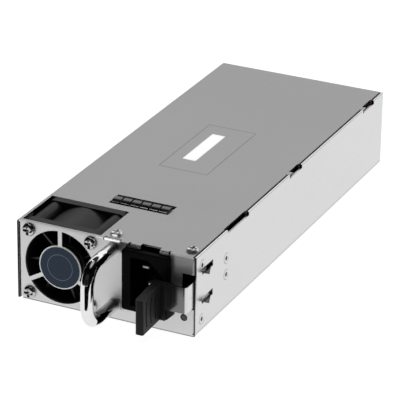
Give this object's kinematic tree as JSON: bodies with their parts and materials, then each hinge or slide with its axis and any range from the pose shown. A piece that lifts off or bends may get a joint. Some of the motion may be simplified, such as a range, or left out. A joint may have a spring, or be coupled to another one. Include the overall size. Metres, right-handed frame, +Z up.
{
  "type": "hot swap server power supply",
  "caption": "Flat sheet-metal hot swap power supply with a fan, a grip handle, a mains inlet, a sprung latch and a rear edge connector.",
  "frame": {"origin": "centre of the case's bottom face", "axes": "+X to the right seen from the front, +Y from the front to the back, +Z up"},
  "size_m": [0.0952, 0.2594, 0.0415],
  "materials": {
    "cover_steel": "zinc plated, satin",
    "case_steel": "zinc plated, bright",
    "panel_steel": "bright nickel plated",
    "screw_steel": "plated",
    "handle_chrome": "polished",
    "fan_plastic": "satin black",
    "blade_plastic": "satin black",
    "gasket_foam": "foam",
    "bearing_bronze": "sintered",
    "core_steel": "laminated",
    "magnet": "bonded ferrite",
    "shaft_steel": "ground",
    "inlet_plastic": "moulded black",
    "pin_metal": "nickel plated",
    "light_lens": "tinted",
    "wire_black": "insulation",
    "spring_steel": "spring temper",
    "tab_plastic": "moulded black",
    "finger_metal": "plated copper alloy",
    "label_film": "slate blue",
    "sticker_paper": "bare white",
    "insulation_film": "clear film",
    "standoff_brass": "turned",
    "board_laminate": "green mask",
    "contact_gold": "gold plated",
    "ceramic": "glazed",
    "relay_case": "moulded blue",
    "capacitor_box": "moulded yellow",
    "disc_ceramic": "dipped blue",
    "ferrite": "ferrite",
    "copper_wire": "enamelled copper",
    "can_sleeve": "sleeved can",
    "heatsink_aluminium": "extruded",
    "chip_epoxy": "moulded",
    "tape_yellow": "taped",
    "copper_bar": "bare copper",
    "plug_nylon": "nylon"
  },
  "bodies": {
    "case": {"base_chassis": "case_steel", "top_cover": "cover_steel", "front_panel": "panel_steel", "rear_panel": "case_steel", "fan_gasket": "gasket_foam", "fan_frame": "fan_plastic", "fan_bearings": "bearing_bronze", "fan_stator": "core_steel", "fan_screws": "screw_steel", "cover_screws": "screw_steel", "panel_rivets": "case_steel", "latch_rivets": "case_steel", "handle": "handle_chrome", "handle_screws": "screw_steel", "inlet_housing": "inlet_plastic", "inlet_pins": "pin_metal", "status_led": "light_lens", "led_leads": "wire_black", "latch_spring_base": "spring_steel", "emi_strip": "finger_metal", "hub_label": "label_film", "blank_sticker": "sticker_paper", "insulating_sheet": "insulation_film", "board_standoffs": "standoff_brass", "board_screws": "screw_steel", "main_board": "board_laminate", "edge_contacts": "contact_gold", "fuse": "ceramic", "relay": "relay_case", "x_capacitors": "capacitor_box", "y_capacitors": "disc_ceramic", "common_mode_cores": "ferrite", "common_mode_windings": "copper_wire", "bulk_capacitors": "can_sleeve", "primary_heatsink": "heatsink_aluminium", "power_transistors": "chip_epoxy", "bridge_rectifier": "chip_epoxy", "pfc_choke_core": "ferrite", "pfc_choke_winding": "copper_wire", "transformer_core": "ferrite", "transformer_winding": "tape_yellow", "standby_transformer": "tape_yellow", "control_board": "board_laminate", "control_chips": "chip_epoxy", "output_heatsink": "copper_bar", "output_rectifiers": "chip_epoxy", "output_capacitors": "can_sleeve", "fan_plug": "plug_nylon", "fan_lead": "wire_black", "mains_leads": "wire_black"},
    "fan_rotor": {"fan_impeller": "blade_plastic", "rotor_magnet": "magnet", "fan_shaft": "shaft_steel"},
    "latch": {"latch_spring_arm": "spring_steel", "latch_tab": "tab_plastic"},
    "earthing_fingers": {"emi_fingers": "finger_metal"}
  },
  "joints": [
    {"name": "fan_spin", "type": "hinge", "parent": "case", "child": "fan_rotor", "pos_m": [-0.0236, -0.097, 0.02], "axis": [0, 1, 0], "continuous": true},
    {"name": "latch_flex", "type": "hinge", "parent": "case", "child": "latch", "pos_m": [0.0445, -0.083, 0.0229], "axis": [0, 0, -1], "range_deg": [0, 8.5], "stiffness_Nm_per_rad": 4},
    {"name": "emi_press", "type": "hinge", "parent": "case", "child": "earthing_fingers", "pos_m": [-0.0015, -0.0746, 0.039], "axis": [-1, 0, 0], "range_deg": [0, 5], "stiffness_Nm_per_rad": 0.35}
  ]
}
